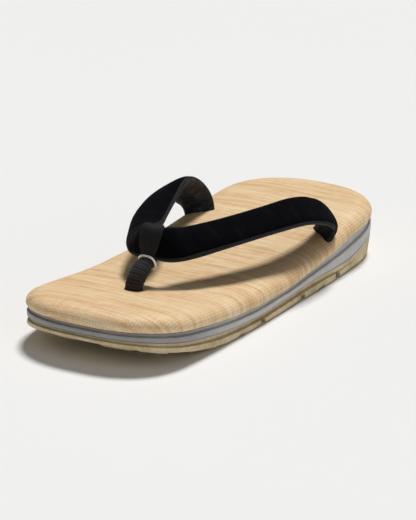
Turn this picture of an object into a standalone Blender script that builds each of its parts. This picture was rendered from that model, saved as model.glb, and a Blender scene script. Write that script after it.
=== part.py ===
"""A setta sandal that fits either foot: a cushioned woven footbed on a soft midsole and
a rubber outsole, with one padded pair of straps held at the front by a looped thong.
Metres, +Z up, toe towards -Y, origin on the floor at mid-length."""

import math

import bmesh
import bpy
import numpy as np

# Driving sizes of the sole, in metres
LENGTH = 0.265
WIDTH = 0.1046
SEAT_HEIGHT = 0.0228         # floor to the footbed's lower edge at the heel
FOOTBED_RISE = 0.0094        # cushion above that edge
EDGE_ROUND = 0.0120          # how far in the cushion's edge rounds over
CROWN = 0.0007               # rise of the cushion's middle
MIDSOLE_THICKNESS = 0.0125   # under the front of the heel, where it is thickest
TOE_LIFT = 0.0120            # tread off the floor at the toe
LUG_DEPTH = 0.0023
LUG_SETBACK = 0.0045         # of the lugs under the toe, behind the side
HEEL_TUCK = 0.0030           # how far the heel's side slopes in at the floor
SIDE_STEP = 0.0013           # recess above the lips of the midsole's and outsole's sides
SIDE_TRIM = 0.0010           # unit of the small insets that round the sides' corners
LIP_SHARE = 0.55             # height of the outsole's lip, as a share of its side
GAP = 0.0003                 # between pieces that touch

# Driving sizes of the straps, in metres
HOLE_SHARE = 0.746           # place of the rear strap holes across the half width
HOLE_SPREAD = HOLE_SHARE * WIDTH / 2
STRAP_WIDTH = 0.0200
STRAP_THICKNESS = 0.0065
STRAP_RISE = 0.0258          # footbed to the strap's middle, where it is highest
THONG_WIDTH = 0.0096
THONG_DEPTH = 0.0088
THONG_REACH = 0.0172         # from the straps' front bend forward to the thong's hole
LOOP_WALL = 0.0012
LOOP_HALF_LENGTH = 0.0046    # of the tab round the front bend, at its upper edge
LOOP_TAPER = 0.28            # how much shorter it is at its lower edge
RING_WIRE = 0.0014

# Shape of the outline's ends: length as a share of LENGTH, and superellipse power
TOE_END, TOE_POWER = 0.15, 2.6
HEEL_END, HEEL_POWER = 0.18, 2.4

# Padded section of the straps: how square its corners are (1 for an ellipse), and the
# share of the thickness on the outer face; the thong's corners
STRAP_CORNER, OUTER_SHARE = 0.80, 0.70
THONG_CORNER = 0.72

# Points around half of the outline, and around and along the straps
END_STEPS, SIDE_STEPS = 9, 18
STRAP_SIDES, STRAP_STEPS = 16, 3
THONG_SIDES, LOOP_STEPS = 12, 8
RING_STEPS, RING_SIDES = 20, 8

# Shares of the way from the sole's middle line to a layer's edge, for the rings that
# close its underside and top
FLOOR_SHARES = (0.0, 0.5, 0.85)
CROWN_SHARES = (0.6, 0.0)

# One row for each cross-section of the sole, toe to heel
SOLE_COLUMNS = ("along", "half_width", "seam", "midsole", "tread", "lug", "recess", "tuck")
SOLE = [
    # of LENGTH, of WIDTH/2, of SEAT_HEIGHT, of MIDSOLE_THICKNESS, of TOE_LIFT, of LUG_DEPTH,
    # of SIDE_STEP, of HEEL_TUCK
    (0.00, 0.899, 0.996, 0.39, 1.00, 1.0, 1.0, 0.0),
    (0.035, 0.915, 0.952, 0.42, 0.80, 1.0, 1.0, 0.0),
    (0.07, 0.931, 0.899, 0.46, 0.62, 1.0, 1.0, 0.0),
    (0.12, 0.954, 0.820, 0.50, 0.40, 1.0, 1.0, 0.0),
    (0.17, 0.973, 0.746, 0.53, 0.19, 0.9, 1.0, 0.0),
    (0.21, 0.986, 0.690, 0.53, 0.06, 0.7, 1.0, 0.0),
    (0.25, 0.993, 0.634, 0.52, 0.00, 0.5, 1.0, 0.0),
    (0.30, 0.998, 0.575, 0.50, 0.00, 0.3, 1.0, 0.0),
    (0.40, 1.000, 0.522, 0.48, 0.00, 0.2, 1.0, 0.0),
    (0.50, 0.990, 0.522, 0.41, 0.00, 0.2, 1.0, 0.0),
    (0.60, 0.977, 0.610, 0.50, 0.00, 0.2, 1.0, 0.0),
    (0.70, 0.964, 0.728, 0.74, 0.00, 0.2, 0.6, 0.0),
    (0.79, 0.943, 0.868, 1.00, 0.00, 0.2, 0.1, 0.3),
    (0.86, 0.929, 0.965, 0.86, 0.00, 0.2, 0.0, 0.7),
    (0.92, 0.916, 0.996, 0.60, 0.08, 0.2, 0.0, 1.0),
    (1.00, 0.899, 1.000, 0.38, 0.36, 0.2, 0.0, 1.0),
]

# Side of the footbed: distance in as a share of EDGE_ROUND, height of FOOTBED_RISE
CUSHION_SIDE = [
    (0.09, 0.00), (0.02, 0.10), (0.00, 0.27), (0.03, 0.45), (0.13, 0.64),
    (0.29, 0.79), (0.50, 0.90), (0.75, 0.97), (1.00, 1.00),
]

# Sides of the two lower layers from the bottom up: insets as shares of SIDE_TRIM, of
# LUG_SETBACK, of HEEL_TUCK and of SIDE_STEP, then heights
MIDSOLE_SIDE = [
    # trim, recess, share of the way down
    (0.9, 0.0, 1.00), (0.4, 0.0, 0.90), (0.4, 0.0, 0.42), (0.4, 1.0, 0.30), (0.3, 1.0, 0.00),
]
OUTSOLE_SIDE = [
    # trim, setback, tuck, recess, share of the lug, of plate to lip, of lip to top
    (1.6, 1.0, 1.0, 0.0, 0.00, 0.0, 0.00),
    (0.9, 1.0, 1.0, 0.0, 0.85, 0.0, 0.00),
    (0.8, 0.0, 0.8, 0.0, 1.00, 0.0, 0.00),
    (0.3, 0.0, 0.5, 0.0, 1.00, 0.3, 0.00),
    (0.5, 0.0, 0.2, 0.0, 1.00, 1.0, 0.00),
    (0.8, 0.0, 0.0, 1.0, 1.00, 1.0, 0.25),
    (1.0, 0.0, 0.0, 0.8, 1.00, 1.0, 1.00),
]

# Gaps cut across the tread: a ramp that rises backwards and a notch at its end,
# places as shares of LENGTH, rise and depth as shares of LUG_DEPTH
GAP_LEAN = 0.4               # how far a notch's walls lean back, of LUG_DEPTH
GAP_ROOF, GAP_HEEL = 0.92, 0.37   # depth at the notch's back, and half-way down that wall
TREAD_GAPS = [
    # ramp start, notch start, notch end, ramp rise, notch depth
    (0.092, 0.0925, 0.150, 0.95, 1.00),
    (0.220, 0.2210, 0.239, 0.80, 0.90),
    (0.301, 0.3020, 0.320, 0.60, 0.75),
    (0.345, 0.3870, 0.406, 0.55, 1.50),
    (0.425, 0.5570, 0.576, 0.80, 1.70),
    (0.590, 0.6600, 0.664, 0.90, 0.95),
    (0.712, 0.7130, 0.733, 1.20, 2.00),
]

# Channels and pockets in the tread: middle across (share of WIDTH/2) and along (share
# of LENGTH from mid-length), size across and along in the same shares, turn in degrees
POCKET_DEPTH = 0.9           # of LUG_DEPTH
POCKET_STEP = 0.05           # of LENGTH, between the points of a channel's roof
TREAD_POCKETS = [
    (0.00, -0.465, 0.38, 0.070, 0),
    (0.54, -0.455, 0.09, 0.090, 14),
    (-0.54, -0.455, 0.09, 0.090, -14),
    (0.33, -0.300, 0.08, 0.290, 0),
    (-0.33, -0.300, 0.08, 0.290, 0),
    (0.00, 0.290, 1.20, 0.034, 0),
    (0.00, 0.350, 1.10, 0.034, 0),
]

# Middle line and turn of one strap, from the front bend to the end inside its hole
STRAP_COLUMNS = ("across", "along", "behind", "rise", "sink", "facing", "dip", "width",
                 "thickness")
STRAP = [
    # of HOLE_SPREAD, of LENGTH, of STRAP_WIDTH, of STRAP_RISE, of FOOTBED_RISE, degrees,
    # degrees, of STRAP_WIDTH, of STRAP_THICKNESS
    (0.000, -0.2245, 0.000, 0.970, 0.00, -90, 82, 0.82, 1.0),
    (0.205, -0.2245, 0.185, 0.922, 0.00, -62, 66, 0.95, 1.0),
    (0.354, -0.2245, 0.685, 0.895, 0.00, -38, 42, 0.98, 1.0),
    (0.520, -0.1151, 0.000, 0.930, 0.00, -26, 31, 1.00, 1.0),
    (0.718, -0.0491, 0.000, 0.975, 0.00, -22, 27, 1.00, 1.0),
    (0.897, 0.0264, 0.000, 0.998, 0.00, -20, 28, 1.00, 1.0),
    (1.005, 0.0962, 0.000, 0.915, 0.00, -21, 33, 1.00, 1.0),
    (1.046, 0.1547, 0.000, 0.711, 0.00, -23, 36, 0.99, 1.0),
    (1.051, 0.2000, 0.000, 0.434, 0.00, -27, 30, 0.95, 1.0),
    (1.036, 0.2208, 0.000, 0.160, 0.00, -31, 16, 0.90, 1.0),
    (1.013, 0.2151, 0.000, 0.000, 0.13, -31, 7, 0.85, 0.95),
    (1.000, 0.2038, 0.000, 0.000, 0.55, -31, 2, 0.83, 0.92),
]

# Middle line of the front thong, from the end in its hole to the strap's front bend
THONG_COLUMNS = ("ahead", "climb", "sink", "width", "depth")
THONG = [
    # of THONG_REACH, of the height below the bend, of FOOTBED_RISE, of THONG_WIDTH,
    # of THONG_DEPTH
    (0.977, 0.000, 0.75, 0.94, 0.90),
    (1.000, 0.000, 0.00, 0.98, 0.95),
    (0.959, 0.307, 0.00, 1.00, 1.00),
    (0.779, 0.583, 0.00, 1.00, 1.00),
    (0.529, 0.752, 0.00, 0.95, 0.95),
    (0.279, 0.844, 0.00, 0.78, 0.78),
    (0.070, 1.013, 0.00, 0.84, 0.80),
]
RING_AT = 5                  # row of THONG at which the ring sits, counted from 0


def columns(table, names):
    """The table's columns as arrays, by name."""
    return dict(zip(names, np.array(table, dtype=float).T))


def smooth(knots, values, at):
    """Smooth curve through the values that never swings past a level stretch."""
    knots, values, at = np.asarray(knots), np.asarray(values), np.asarray(at, dtype=float)
    run = np.diff(knots)
    slope = np.diff(values) / run
    tangent = np.zeros(len(values))
    same_way = slope[:-1] * slope[1:] > 0
    mean = 2 * slope[:-1] * slope[1:] / np.where(same_way, slope[:-1] + slope[1:], 1)
    tangent[1:-1] = np.where(same_way, mean, 0)
    tangent[0], tangent[-1] = slope[0], slope[-1]
    i = np.clip(np.searchsorted(knots, at) - 1, 0, len(run) - 1)
    u = np.clip((at - knots[i]) / run[i], 0, 1)
    start = values[i] * (1 + 2 * u) + tangent[i] * run[i] * u
    end = values[i + 1] * (3 - 2 * u) - tangent[i + 1] * run[i] * (1 - u)
    return start * (1 - u) ** 2 + end * u ** 2


def sole_value(name, y):
    """A column of the sole's table at the given places along the sole."""
    sole = columns(SOLE, SOLE_COLUMNS)
    return smooth(sole["along"], sole[name], np.asarray(y) / LENGTH + 0.5)


def seam_height(y):
    """Height of the footbed's underside."""
    return SEAT_HEIGHT * sole_value("seam", y)


def midsole_top(y):
    """Height of the midsole's top, the gap below the footbed."""
    return seam_height(y) - GAP


def midsole_floor(y):
    """Height of the midsole's underside."""
    return seam_height(y) - MIDSOLE_THICKNESS * sole_value("midsole", y)


def outsole_top(y):
    """Height of the outsole's top, the gap below the midsole."""
    return midsole_floor(y) - GAP


def tread_height(y):
    """Height of the tread's lowest faces, on the floor except at toe and heel."""
    return TOE_LIFT * sole_value("tread", y)


def footbed_top(y):
    """Height of the footbed inside its rounded edge."""
    return seam_height(y) + FOOTBED_RISE


def outline():
    """The sole's outline from the toe round the +X side to the heel and back."""
    turn = np.linspace(0, math.pi / 2, END_STEPS + 1)
    toe = TOE_END * (1 - np.cos(turn) ** (2 / TOE_POWER))
    toe_wide = np.sin(turn) ** (2 / TOE_POWER)
    side = np.linspace(TOE_END, 1 - HEEL_END, SIDE_STEPS + 1)[1:]
    heel = 1 - HEEL_END * (1 - np.sin(turn[1:]) ** (2 / HEEL_POWER))
    heel = heel[:-1]
    heel_wide = np.cos(turn[1:-1]) ** (2 / HEEL_POWER)
    along = np.concatenate([toe, side, heel, [1.0]])
    wide = np.concatenate([toe_wide, np.ones(len(side)), heel_wide, [0.0]])
    y = (along - 0.5) * LENGTH
    x = wide * sole_value("half_width", y) * WIDTH / 2
    right = np.stack([x, y], axis=1)
    left = right[-2:0:-1] * [-1, 1]
    return np.concatenate([right, left])


def inset(loop, distance):
    """The loop moved inwards by a distance, or by one distance for each point."""
    along = np.roll(loop, -1, axis=0) - np.roll(loop, 1, axis=0)
    along /= np.linalg.norm(along, axis=1)[:, None]
    outward = np.stack([along[:, 1], -along[:, 0]], axis=1)
    moved = loop - outward * np.broadcast_to(distance, len(loop))[:, None]
    middle = np.abs(loop[:, 0]) < 1e-9
    moved[middle, 0] = 0
    return moved


def toward_spine(loop, share):
    """The loop drawn in to the sole's middle line; share 0 lies on that line."""
    reach = LENGTH / 2 - WIDTH / 3
    spine = np.stack([np.zeros(len(loop)), np.clip(loop[:, 1], -reach, reach)], axis=1)
    return spine + (loop - spine) * share


def level(loop, height):
    """Points of a loop at the heights that a function or an array gives."""
    z = height(loop[:, 1]) if callable(height) else np.broadcast_to(height, len(loop))
    return np.column_stack([loop, z])


def add_object(name, verts, faces, colour, roughness, metallic=0.0, sharp=40):
    """A closed mesh object with its own material; faces are made to point out."""
    mesh = bpy.data.meshes.new(name)
    mesh.from_pydata([tuple(v) for v in verts], [], faces)
    work = bmesh.new()
    work.from_mesh(mesh)
    bmesh.ops.remove_doubles(work, verts=work.verts, dist=1e-6)
    bmesh.ops.dissolve_degenerate(work, edges=work.edges, dist=1e-7)
    bmesh.ops.recalc_face_normals(work, faces=work.faces)
    work.to_mesh(mesh)
    work.free()
    mesh.shade_smooth()
    mesh.set_sharp_from_angle(angle=math.radians(sharp))
    material = bpy.data.materials.new(name)
    material.use_nodes = True
    shader = material.node_tree.nodes["Principled BSDF"]
    shader.inputs["Base Color"].default_value = (*colour, 1)
    shader.inputs["Roughness"].default_value = roughness
    shader.inputs["Metallic"].default_value = metallic
    mesh.materials.append(material)
    obj = bpy.data.objects.new(name, mesh)
    bpy.context.scene.collection.objects.link(obj)
    return obj


def ring_faces(rows, count, closed_rows=False):
    """Quads between each row of points and the next, each row a closed ring."""
    faces = []
    for r in range(rows if closed_rows else rows - 1):
        for i in range(count):
            j = (i + 1) % count
            upper = (r + 1) % rows
            faces.append((r * count + i, r * count + j, upper * count + j, upper * count + i))
    return faces


def layered(name, rings, **look):
    """A solid through closed rings; the first and the last lie on the sole's middle line."""
    verts = np.concatenate(rings)
    return add_object(name, verts, ring_faces(len(rings), len(rings[0])), **look)


def floor_rings(loop, height):
    """Rings that close a layer's underside, from its middle line out."""
    return [level(toward_spine(loop, share), height) for share in FLOOR_SHARES]


def tube(name, sections, **look):
    """A solid through open-ended sections with flat end caps."""
    count = len(sections[0])
    faces = ring_faces(len(sections), count)
    faces.append(tuple(range(count)))
    faces.append(tuple(range(len(sections) * count - 1, (len(sections) - 1) * count - 1, -1)))
    return add_object(name, np.concatenate(sections), faces, **look)


def cut(target, cutters, operation="DIFFERENCE"):
    """Boolean of the target with each cutter, which stays in the scene as a guide."""
    for cutter in cutters:
        cutter.hide_render = True
        cutter.display_type = "WIRE"
        boolean = target.modifiers.new(cutter.name, "BOOLEAN")
        boolean.operation = operation
        boolean.solver = "EXACT"
        boolean.object = cutter


def through_rows(table, steps):
    """Catmull-Rom curve through the rows of a table, each column by itself."""
    ends = [2 * table[0] - table[1], 2 * table[-1] - table[-2]]
    rows = np.vstack([ends[0], table, ends[1]])
    out = []
    for i in range(1, len(rows) - 2):
        before, start, end, after = rows[i - 1:i + 3]
        for u in np.arange(steps) / steps:
            square = 2 * before - 5 * start + 4 * end - after
            cube = 3 * start - before - 3 * end + after
            out.append(start + 0.5 * ((end - before) * u + square * u ** 2 + cube * u ** 3))
    out.append(rows[-2])
    return np.array(out)


def unit(vectors):
    return vectors / np.linalg.norm(vectors, axis=-1, keepdims=True)


def strap_rows():
    """Both straps as one run of rows in metres and degrees, from end to end."""
    strap = columns(STRAP, STRAP_COLUMNS)
    y = strap["along"] * LENGTH + strap["behind"] * STRAP_WIDTH
    z = footbed_top(y) + strap["rise"] * STRAP_RISE - strap["sink"] * FOOTBED_RISE
    right = np.column_stack([
        strap["across"] * HOLE_SPREAD, y, z, strap["facing"], strap["dip"],
        strap["width"] * STRAP_WIDTH, strap["thickness"] * STRAP_THICKNESS,
    ])
    left = right[:0:-1] * [-1, 1, 1, 1, 1, 1, 1]
    left[:, 3] = -180 - left[:, 3]
    return np.vstack([left, right])


def strap_frame():
    """Middle points, width and face directions, width and thickness along the straps."""
    rows = through_rows(strap_rows(), STRAP_STEPS)
    middle = rows[:, :3]
    run = unit(np.gradient(middle, axis=0))
    facing, dip = np.radians(rows[:, 3]), np.radians(rows[:, 4])
    across = np.stack([
        np.cos(facing) * np.cos(dip), np.sin(facing) * np.cos(dip), -np.sin(dip),
    ], axis=1)
    across = unit(across - run * (run * across).sum(axis=1, keepdims=True))
    face = np.cross(across, run)
    return middle, across, face, rows[:, 5], rows[:, 6]


def strap_section(angle, width, thickness, grow):
    """Across and out-of-face offsets of the padded section, domed on its outer face."""
    side = np.sign(np.cos(angle)) * np.abs(np.cos(angle)) ** STRAP_CORNER
    out = np.sign(np.sin(angle)) * np.abs(np.sin(angle)) ** STRAP_CORNER
    dome = np.where(out > 0, OUTER_SHARE, 1 - OUTER_SHARE)
    return side * (width / 2 + grow), out * (dome * thickness + grow)


def strap_points(frame, i, angle, grow):
    """Points around the strap's section at row i, grown by a clearance."""
    middle, across, face, width, thickness = frame
    side, out = strap_section(angle, width[i], thickness[i], grow)
    return middle[i] + np.outer(side, across[i]) + np.outer(out, face[i])


def strap_sections(rows, grow=0.0):
    """Sections of the straps at the given rows."""
    frame = strap_frame()
    angle = np.arange(STRAP_SIDES) * 2 * math.pi / STRAP_SIDES
    return [strap_points(frame, i, angle, grow) for i in rows]


def hole_cutter(name, sections):
    """Cutter for a hole in the footbed: the sections, run on down past its underside."""
    below = sections[-1] + (sections[-1] - sections[-2]) * 3
    return tube(name, [*sections, below], colour=(1, 1, 1), roughness=1)


def build_strap_holes():
    """Cutters for the two rear holes, round the straps' ends with the gap to spare."""
    last = len(strap_frame()[0]) - 1
    tail = 2 * STRAP_STEPS
    left = strap_sections(range(tail, -1, -1), GAP)
    right = strap_sections(range(last - tail, last + 1), GAP)
    return [hole_cutter("left_hole_cutter", left), hole_cutter("right_hole_cutter", right)]


def thong_frame():
    """Middle points, up-and-forward directions, widths and depths along the thong."""
    thong = columns(THONG, THONG_COLUMNS)
    strap = columns(STRAP, STRAP_COLUMNS)
    below_bend = strap["rise"][0] * STRAP_RISE - strap["width"][0] * STRAP_WIDTH / 2
    y = strap["along"][0] * LENGTH - thong["ahead"] * THONG_REACH
    z = footbed_top(y) + thong["climb"] * below_bend - thong["sink"] * FOOTBED_RISE
    table = np.column_stack([y, z, thong["width"] * THONG_WIDTH, thong["depth"] * THONG_DEPTH])
    rows = through_rows(table, STRAP_STEPS)
    run = unit(np.gradient(rows[:, :2], axis=0))
    forward = np.stack([-run[:, 1], run[:, 0]], axis=1)
    return rows, forward


def thong_section(rows, forward, i, sides, grow):
    """Points of the thong's rounded square section at row i, corners turned forward."""
    angle = np.arange(sides) * 2 * math.pi / sides
    x = np.sign(np.cos(angle)) * np.abs(np.cos(angle)) ** THONG_CORNER
    d = np.sign(np.sin(angle)) * np.abs(np.sin(angle)) ** THONG_CORNER
    x, d = x * (rows[i, 2] / 2 + grow), d * (rows[i, 3] / 2 + grow)
    return np.column_stack([x, rows[i, 0] + d * forward[i, 0], rows[i, 1] + d * forward[i, 1]])


def build_footbed():
    """Woven cushion: flat underside on the seam, rounded side, softly crowned top."""
    edge = outline()
    low = inset(edge, CUSHION_SIDE[0][0] * EDGE_ROUND)
    rings = floor_rings(low, seam_height)
    for distance, rise in CUSHION_SIDE:
        loop = inset(edge, distance * EDGE_ROUND)
        rings.append(level(loop, seam_height(loop[:, 1]) + rise * FOOTBED_RISE))
    top = inset(edge, EDGE_ROUND)
    for share in CROWN_SHARES:
        loop = toward_spine(top, share)
        crown = CROWN * (1 - share ** 2)
        rings.append(level(loop, footbed_top(loop[:, 1]) + crown))
    return layered("footbed", rings, colour=(0.80, 0.61, 0.40), roughness=0.75)


def build_midsole():
    """Soft foam layer: recessed under the footbed, with a lip along its lower side."""
    edge = outline()
    rings = []
    for trim, recess, down in MIDSOLE_SIDE:
        loop = inset(edge, trim * SIDE_TRIM + recess * SIDE_STEP)
        top, low = midsole_top(loop[:, 1]), midsole_floor(loop[:, 1])
        rings.append(level(loop, top + (low - top) * down))
    rings = floor_rings(rings[0][:, :2], midsole_floor) + rings
    rings += floor_rings(rings[-1][:, :2], midsole_top)[::-1]
    return layered("midsole", rings, colour=(0.30, 0.29, 0.28), roughness=0.6)


def build_outsole():
    """Rubber layer: a lip along the side, lugs under the toe, and cut tread."""
    edge = outline()
    y = edge[:, 1]
    lug = LUG_DEPTH * sole_value("lug", y)
    setback = LUG_SETBACK * sole_value("lug", y)
    tuck = HEEL_TUCK * sole_value("tuck", y)
    recess = SIDE_STEP * sole_value("recess", y)
    floor = tread_height(y)
    plate = floor + lug
    lip = plate + (outsole_top(y) - plate) * LIP_SHARE
    rings = []
    for trim, back, tucked, deep, up_lug, up_lip, up_top in OUTSOLE_SIDE:
        distance = trim * SIDE_TRIM + back * setback + tucked * tuck + deep * recess
        height = floor + lug * up_lug + (lip - plate) * up_lip + (outsole_top(y) - lip) * up_top
        rings.append(level(inset(edge, distance), height))
    rings = floor_rings(rings[0][:, :2], tread_height) + rings
    rings += floor_rings(rings[-1][:, :2], outsole_top)[::-1]
    outsole = layered("outsole", rings, colour=(0.42, 0.34, 0.22), roughness=0.55)
    cut(outsole, [build_tread_gaps(), build_tread_pockets()])


def build_tread_gaps():
    """Cutter for the gaps across the tread: one prism for each row of the table."""
    verts, faces = [], []
    under, lean = -2 * LUG_DEPTH, GAP_LEAN * LUG_DEPTH
    for ramp, notch, end, rise, depth in TREAD_GAPS:
        start, front, back = [(share - 0.5) * LENGTH for share in (ramp, notch, end)]
        roof = [(start, -GAP / LUG_DEPTH), (front, rise), (front + lean, depth),
                (back, depth * GAP_ROOF), (back + lean * 0.8, depth * GAP_HEEL)]
        profile = [(y, float(tread_height(y)) + up * LUG_DEPTH) for y, up in roof]
        profile += [(back + lean, under), (start, under)]
        first, count = len(verts), len(profile)
        for x in (-WIDTH, WIDTH):
            verts += [(x, y, z) for y, z in profile]
        faces.append(tuple(first + i for i in range(count)))
        faces.append(tuple(first + 2 * count - 1 - i for i in range(count)))
        for i in range(count):
            j = (i + 1) % count
            faces.append((first + j, first + i, first + count + i, first + count + j))
    return add_object("tread_gap_cutter", verts, faces, colour=(1, 1, 1), roughness=1)


def build_tread_pockets():
    """Cutter for the channels and pockets of the tread, each with a roof along the tread."""
    verts, faces = [], []
    for x, y, wide, long, turn in TREAD_POCKETS:
        turn = math.radians(turn)
        half_wide, half_long = wide * WIDTH / 4, long * LENGTH / 2
        steps = max(1, round(long / POCKET_STEP))
        first = len(verts)
        for i in range(steps + 1):
            forward = (2 * i / steps - 1) * half_long
            for sideways in (-half_wide, half_wide):
                px = x * WIDTH / 2 + sideways * math.cos(turn) - forward * math.sin(turn)
                py = y * LENGTH + sideways * math.sin(turn) + forward * math.cos(turn)
                roof = float(tread_height(py)) + LUG_DEPTH * POCKET_DEPTH
                verts += [(px, py, -2 * LUG_DEPTH), (px, py, roof)]
        for i in range(steps):
            a, b = first + 4 * i, first + 4 * (i + 1)
            faces += [(a, a + 2, b + 2, b), (a + 1, b + 1, b + 3, a + 3),
                      (a, b, b + 1, a + 1), (a + 2, a + 3, b + 3, b + 2)]
        last = first + 4 * steps
        faces += [(first, first + 1, first + 3, first + 2),
                  (last, last + 2, last + 3, last + 1)]
    return add_object("tread_pocket_cutter", verts, faces, colour=(1, 1, 1), roughness=1)


def build_straps():
    """Both padded straps as one solid that bends round at the front."""
    rows = range(len(strap_frame()[0]))
    return tube("straps", strap_sections(rows), colour=(0.004, 0.004, 0.005), roughness=0.9)


def build_front_thong():
    """Thong from its hole up to the straps' front bend, which its end loops round."""
    rows, forward = thong_frame()
    sections = [thong_section(rows, forward, i, THONG_SIDES, 0) for i in range(len(rows))]
    stem = tube("front_thong", sections, colour=(0.022, 0.021, 0.022), roughness=0.8)
    cut(stem, [build_loop()], "UNION")
    cut(stem, [build_bend_cutter()])


def build_bend_cutter():
    """The straps' front bend grown by the gap, which leaves the loop's wall round it."""
    middle_row = len(strap_frame()[0]) // 2
    rows = range(middle_row - STRAP_STEPS, middle_row + STRAP_STEPS + 1)
    return tube("bend_cutter", strap_sections(rows, GAP), colour=(1, 1, 1), roughness=1)


def build_loop():
    """Filled sleeve round the straps' front bend, longer over the top than under it."""
    frame = strap_frame()
    middle_row = len(frame[0]) // 2
    angle = np.arange(STRAP_SIDES) * 2 * math.pi / STRAP_SIDES
    half = LOOP_HALF_LENGTH * (1 - LOOP_TAPER * (1 + np.cos(angle)) / 2)
    rows = np.arange(middle_row - STRAP_STEPS, middle_row + STRAP_STEPS + 1)
    travel = frame[0][rows, 0]
    grid = np.array([strap_points(frame, i, angle, GAP + LOOP_WALL) for i in rows])
    sections = [
        np.array([[np.interp(share * half[k], travel, grid[:, k, axis]) for axis in range(3)]
                  for k in range(STRAP_SIDES)])
        for share in np.linspace(-1, 1, LOOP_STEPS + 1)
    ]
    return tube("loop_guide", sections, colour=(1, 1, 1), roughness=1)


def build_neck_ring():
    """Thin ring that gathers the thong just under the straps."""
    rows, forward = thong_frame()
    path = thong_section(rows, forward, RING_AT * STRAP_STEPS, RING_STEPS, GAP + RING_WIRE / 2)
    centre = path.mean(axis=0)
    along = unit(np.roll(path, -1, axis=0) - np.roll(path, 1, axis=0))
    out = path - centre
    out = unit(out - along * (along * out).sum(axis=1, keepdims=True))
    other = np.cross(along, out)
    angle = np.arange(RING_SIDES) * 2 * math.pi / RING_SIDES
    sections = [p + (np.outer(np.cos(angle), o) + np.outer(np.sin(angle), v)) * RING_WIRE / 2
                for p, o, v in zip(path, out, other)]
    faces = ring_faces(len(sections), RING_SIDES, closed_rows=True)
    return add_object("neck_ring", np.concatenate(sections), faces,
                      colour=(0.80, 0.80, 0.78), roughness=0.3, metallic=1.0)


def build_thong_hole():
    """Cutter for the front hole, round the thong's end with the gap to spare."""
    rows, forward = thong_frame()
    return hole_cutter("thong_hole_cutter", [
        thong_section(rows, forward, i, THONG_SIDES, GAP) for i in range(2 * STRAP_STEPS, -1, -1)
    ])


def main():
    for obj in list(bpy.data.objects):
        bpy.data.objects.remove(obj, do_unlink=True)
    cut(build_footbed(), [*build_strap_holes(), build_thong_hole()])
    build_midsole()
    build_outsole()
    build_straps()
    build_front_thong()
    build_neck_ring()


main()
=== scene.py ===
"""Looks of a setta sandal: woven footbed, foam and rubber side, padded velvet straps with a
cloth lining, and a looped cloth thong with a metal ring. Sizes repeat the CAD part's."""

import math

import bmesh
import bpy
import numpy as np
from mathutils import Matrix, Vector


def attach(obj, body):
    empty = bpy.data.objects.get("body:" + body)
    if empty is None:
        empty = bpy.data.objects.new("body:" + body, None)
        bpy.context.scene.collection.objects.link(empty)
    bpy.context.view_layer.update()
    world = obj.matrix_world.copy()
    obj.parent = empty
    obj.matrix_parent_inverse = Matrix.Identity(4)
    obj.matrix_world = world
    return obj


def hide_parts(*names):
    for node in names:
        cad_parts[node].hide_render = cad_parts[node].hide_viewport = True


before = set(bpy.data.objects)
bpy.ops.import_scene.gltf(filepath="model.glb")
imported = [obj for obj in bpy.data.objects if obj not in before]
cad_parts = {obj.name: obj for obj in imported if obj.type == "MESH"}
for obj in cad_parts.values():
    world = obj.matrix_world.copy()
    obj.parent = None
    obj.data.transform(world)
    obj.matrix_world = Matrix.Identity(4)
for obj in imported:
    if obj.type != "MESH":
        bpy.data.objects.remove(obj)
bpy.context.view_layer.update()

# Sizes of the sole, in metres, as in the CAD source
LENGTH = 0.265
WIDTH = 0.1046
SEAT_HEIGHT = 0.0228
FOOTBED_RISE = 0.0094
EDGE_ROUND = 0.0120
CROWN = 0.0007
MIDSOLE_THICKNESS = 0.0125
SIDE_STEP = 0.0013
SIDE_TRIM = 0.0010
GAP = 0.0003

# Sizes of the straps, in metres, as in the CAD source
HOLE_SPREAD = 0.746 * WIDTH / 2
STRAP_WIDTH = 0.0200
STRAP_THICKNESS = 0.0065
STRAP_RISE = 0.0258
THONG_WIDTH = 0.0096
THONG_DEPTH = 0.0088
THONG_REACH = 0.0172
TAB_WALL = 0.0012
TAB_TAPER = 0.28
RING_WIRE = 0.0014

# Half length of the visible tab round the bend, in metres; the CAD's is 0.0046
TAB_HALF_LENGTH = 0.0043

# Rounding of toe and heel in plan, as a share of LENGTH and a power, then of the sections
TOE_END, TOE_POWER = 0.15, 2.6
HEEL_END, HEEL_POWER = 0.18, 2.4
STRAP_CORNER, OUTER_SHARE = 0.80, 0.70
THONG_CORNER = 0.72

# Fineness of the visible pieces
END_STEPS, SIDE_STEPS = 32, 90
STRAP_SIDES, STRAP_STEPS = 72, 16
THONG_SIDES, THONG_STEPS = 48, 14
TAB_STEPS = 24
RING_STEPS, RING_SIDES = 72, 14

SOLE_COLUMNS = ("along", "half_width", "seam", "midsole")
SOLE = [
    # of LENGTH, of WIDTH/2, of SEAT_HEIGHT, of MIDSOLE_THICKNESS
    (0.00, 0.899, 0.996, 0.39), (0.035, 0.915, 0.952, 0.42), (0.07, 0.931, 0.899, 0.46),
    (0.12, 0.954, 0.820, 0.50), (0.17, 0.973, 0.746, 0.53), (0.21, 0.986, 0.690, 0.53),
    (0.25, 0.993, 0.634, 0.52), (0.30, 0.998, 0.575, 0.50), (0.40, 1.000, 0.522, 0.48),
    (0.50, 0.990, 0.522, 0.41), (0.60, 0.977, 0.610, 0.50), (0.70, 0.964, 0.728, 0.74),
    (0.79, 0.943, 0.868, 1.00), (0.86, 0.929, 0.965, 0.86), (0.92, 0.916, 0.996, 0.60),
    (1.00, 0.899, 1.000, 0.38),
]
CUSHION_SIDE = [
    # of EDGE_ROUND, of FOOTBED_RISE
    (0.09, 0.00), (0.02, 0.10), (0.00, 0.27), (0.03, 0.45), (0.13, 0.64),
    (0.29, 0.79), (0.50, 0.90), (0.75, 0.97), (1.00, 1.00),
]
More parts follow.
